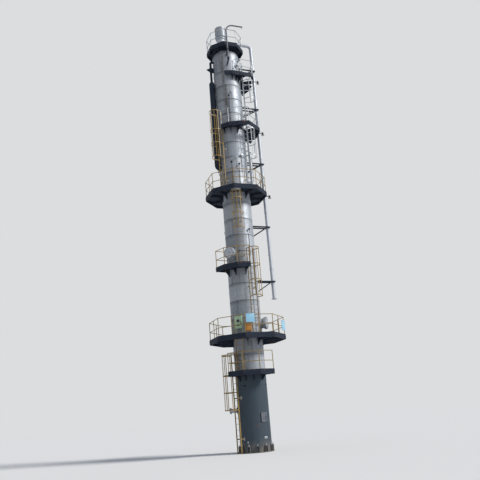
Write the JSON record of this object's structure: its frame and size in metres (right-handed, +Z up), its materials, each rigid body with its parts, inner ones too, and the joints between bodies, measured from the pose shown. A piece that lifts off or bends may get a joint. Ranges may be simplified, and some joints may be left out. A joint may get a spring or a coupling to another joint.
{
  "type": "distillation column",
  "caption": "Tall insulated distillation column on a skirt with platforms, railings, caged ladders, an overhead line and a swivelling davit at the top.",
  "frame": {"origin": "centre of the base ring's lower face, which rests on the foundation", "axes": "+Z up along the column, +X towards the overhead line, -Y towards the davit's mast and the front"},
  "size_m": [4.1253, 4, 26.78],
  "materials": {
    "cladding": "weathered aluminium sheet over insulation",
    "skirt_paint": "dark blue-grey paint, dusty",
    "dark_steel": "dark paint with rust",
    "galvanised": "dull hot-dip galvanised steel",
    "rail_yellow": "faded ochre yellow paint",
    "panel_green": "pale green enamel"
  },
  "bodies": {
    "column": {"base_ring": "skirt_paint", "skirt": "skirt_paint", "bottom_head": "dark_steel", "bottom_line": "cladding", "lower_shell": "cladding", "middle_shell": "cladding", "upper_shell": "cladding", "top_head": "cladding", "top_nozzle": "cladding", "nozzle_cover": "cladding", "overhead_line": "cladding", "line_supports": "dark_steel", "line_end_spool": "cladding", "left_riser": "dark_steel", "platform_1": "dark_steel", "platform_2": "dark_steel", "platform_3": "dark_steel", "platform_4": "dark_steel", "platform_5": "dark_steel", "platform_6": "dark_steel", "platform_7": "dark_steel", "railing_1": "rail_yellow", "railing_2": "rail_yellow", "railing_3": "rail_yellow", "railing_4": "rail_yellow", "railing_5": "galvanised", "railing_6": "galvanised", "railing_7": "galvanised", "ladder_1": "rail_yellow", "ladder_2": "rail_yellow", "ladder_3": "rail_yellow", "ladder_4": "rail_yellow", "ladder_5": "rail_yellow", "ladder_6": "galvanised", "ladder_7": "galvanised", "ladder_8": "galvanised", "davit_bracket": "dark_steel", "manhole_lower": "cladding", "manhole_middle": "cladding", "manhole_upper": "cladding", "side_nozzles": "cladding", "level_gauge": "galvanised", "edge_lamps": "dark_steel", "junction_box": "panel_green"},
    "davit_arm": {"davit": "galvanised"}
  },
  "joints": [
    {"name": "davit_swivel", "type": "hinge", "parent": "column", "child": "davit_arm", "pos_m": [-0.25818, -1.269, 24], "axis": [0, 0, 1], "range_deg": [-90, 60]}
  ]
}
